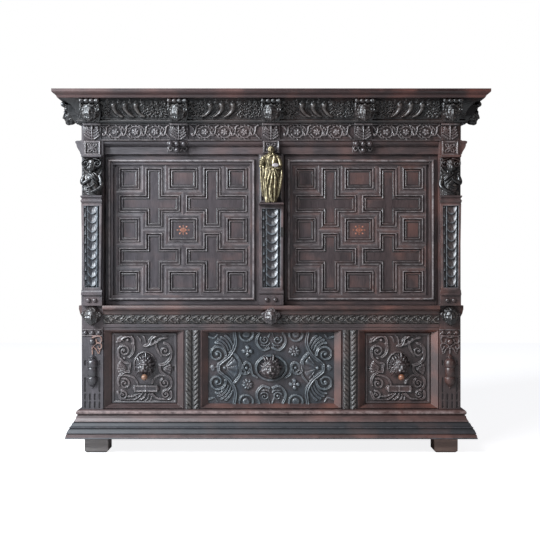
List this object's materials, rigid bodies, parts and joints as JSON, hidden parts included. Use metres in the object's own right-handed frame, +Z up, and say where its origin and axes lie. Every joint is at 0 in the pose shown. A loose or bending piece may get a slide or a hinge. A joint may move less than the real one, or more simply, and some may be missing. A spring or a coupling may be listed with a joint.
{
  "type": "two-stage carved oak cupboard",
  "caption": "Low two-stage oak cupboard with carved cornice, geometric upper doors, herm pilasters, a gilt figure and a carved lower stage with mask doors.",
  "frame": {"origin": "on the floor, under the middle of the crown's outline", "axes": "+X to the right along the front, +Y to the back, +Z up; the front faces -Y"},
  "size_m": [1.8, 0.62, 1.51],
  "materials": {
    "carved_oak": "waxed, nearly black",
    "moulded_oak": "waxed, worn brown",
    "inner_oak": "dry, unpolished",
    "wrought_iron": "dark, oiled",
    "gilt_bronze": "rubbed gilding"
  },
  "bodies": {
    "carcase": {"frieze_blocks": "carved_oak", "rosette_blocks": "carved_oak", "drop_ornaments": "carved_oak", "cornice_cove": "carved_oak", "cornice_masks": "carved_oak", "carved_band": "carved_oak", "middle_masks": "carved_oak", "centre_panel": "carved_oak", "centre_lion_mask": "carved_oak", "post_ornaments": "carved_oak", "herm_busts": "carved_oak", "herm_shafts": "carved_oak", "herm_bases": "carved_oak", "frieze_panels": "carved_oak", "lower_muntins": "carved_oak", "feet": "moulded_oak", "base_mouldings": "moulded_oak", "front_posts": "moulded_oak", "bottom_rail": "moulded_oak", "middle_rail": "moulded_oak", "fascia_rail": "moulded_oak", "architrave": "moulded_oak", "crown_moulding": "moulded_oak", "fillet_moulding": "moulded_oak", "middle_mouldings": "moulded_oak", "lower_surrounds": "moulded_oak", "side_panels": "moulded_oak", "case_rails": "moulded_oak", "top_board": "moulded_oak", "back_posts": "moulded_oak", "cornice_rail": "inner_oak", "back_boards": "inner_oak", "bottom_board": "inner_oak", "middle_board": "inner_oak", "upper_shelf": "inner_oak", "shelf_bearers": "inner_oak", "door_stops": "inner_oak"},
    "upper_left_door": {"left_leaf_frame": "moulded_oak", "left_leaf_panel": "moulded_oak", "left_leaf_border": "moulded_oak", "left_leaf_mouldings": "moulded_oak", "left_leaf_iron": "wrought_iron", "closing_pilaster": "carved_oak", "robed_figure": "gilt_bronze"},
    "upper_lock_bolt": {"upper_lock_bolt": "wrought_iron"},
    "keyhole_cover": {"keyhole_cover": "wrought_iron"},
    "upper_right_door": {"right_leaf_frame": "moulded_oak", "right_leaf_panel": "moulded_oak", "right_leaf_border": "moulded_oak", "right_leaf_mouldings": "moulded_oak", "right_leaf_iron": "wrought_iron"},
    "right_leaf_bolt": {"right_leaf_bolt": "wrought_iron"},
    "lower_left_door": {"lower_left_board": "carved_oak", "lower_left_mask": "carved_oak", "lower_left_iron": "wrought_iron"},
    "lower_left_bolt": {"lower_left_bolt": "wrought_iron"},
    "lower_right_door": {"lower_right_board": "carved_oak", "lower_right_mask": "carved_oak", "lower_right_iron": "wrought_iron"},
    "lower_right_bolt": {"lower_right_bolt": "wrought_iron"}
  },
  "joints": [
    {"name": "upper_left_hinge", "type": "hinge", "parent": "carcase", "child": "upper_left_door", "pos_m": [-0.678, -0.155, 0.62], "axis": [0, 0, -1], "range_deg": [0, 90]},
    {"name": "upper_right_hinge", "type": "hinge", "parent": "carcase", "child": "upper_right_door", "pos_m": [0.678, -0.155, 0.62], "axis": [0, 0, 1], "range_deg": [0, 90]},
    {"name": "lower_left_hinge", "type": "hinge", "parent": "carcase", "child": "lower_left_door", "pos_m": [-0.657, -0.166, 0.205], "axis": [0, 0, -1], "range_deg": [0, 90]},
    {"name": "lower_right_hinge", "type": "hinge", "parent": "carcase", "child": "lower_right_door", "pos_m": [0.657, -0.166, 0.205], "axis": [0, 0, 1], "range_deg": [0, 90]},
    {"name": "upper_bolt_slide", "type": "slide", "parent": "upper_left_door", "child": "upper_lock_bolt", "axis": [1, 0, 0], "range_m": [0, 0.014]},
    {"name": "keyhole_cover_pivot", "type": "hinge", "parent": "upper_left_door", "child": "keyhole_cover", "pos_m": [0.045, -0.2128, 0.942], "axis": [0, -1, 0], "range_deg": [0, 110]},
    {"name": "leaf_bolt_slide", "type": "slide", "parent": "upper_right_door", "child": "right_leaf_bolt", "axis": [0, 0, 1], "range_m": [0, 0.014]},
    {"name": "lower_left_bolt_slide", "type": "slide", "parent": "lower_left_door", "child": "lower_left_bolt", "axis": [1, 0, 0], "range_m": [0, 0.014]},
    {"name": "lower_right_bolt_slide", "type": "slide", "parent": "lower_right_door", "child": "lower_right_bolt", "axis": [-1, 0, 0], "range_m": [0, 0.014]}
  ]
}
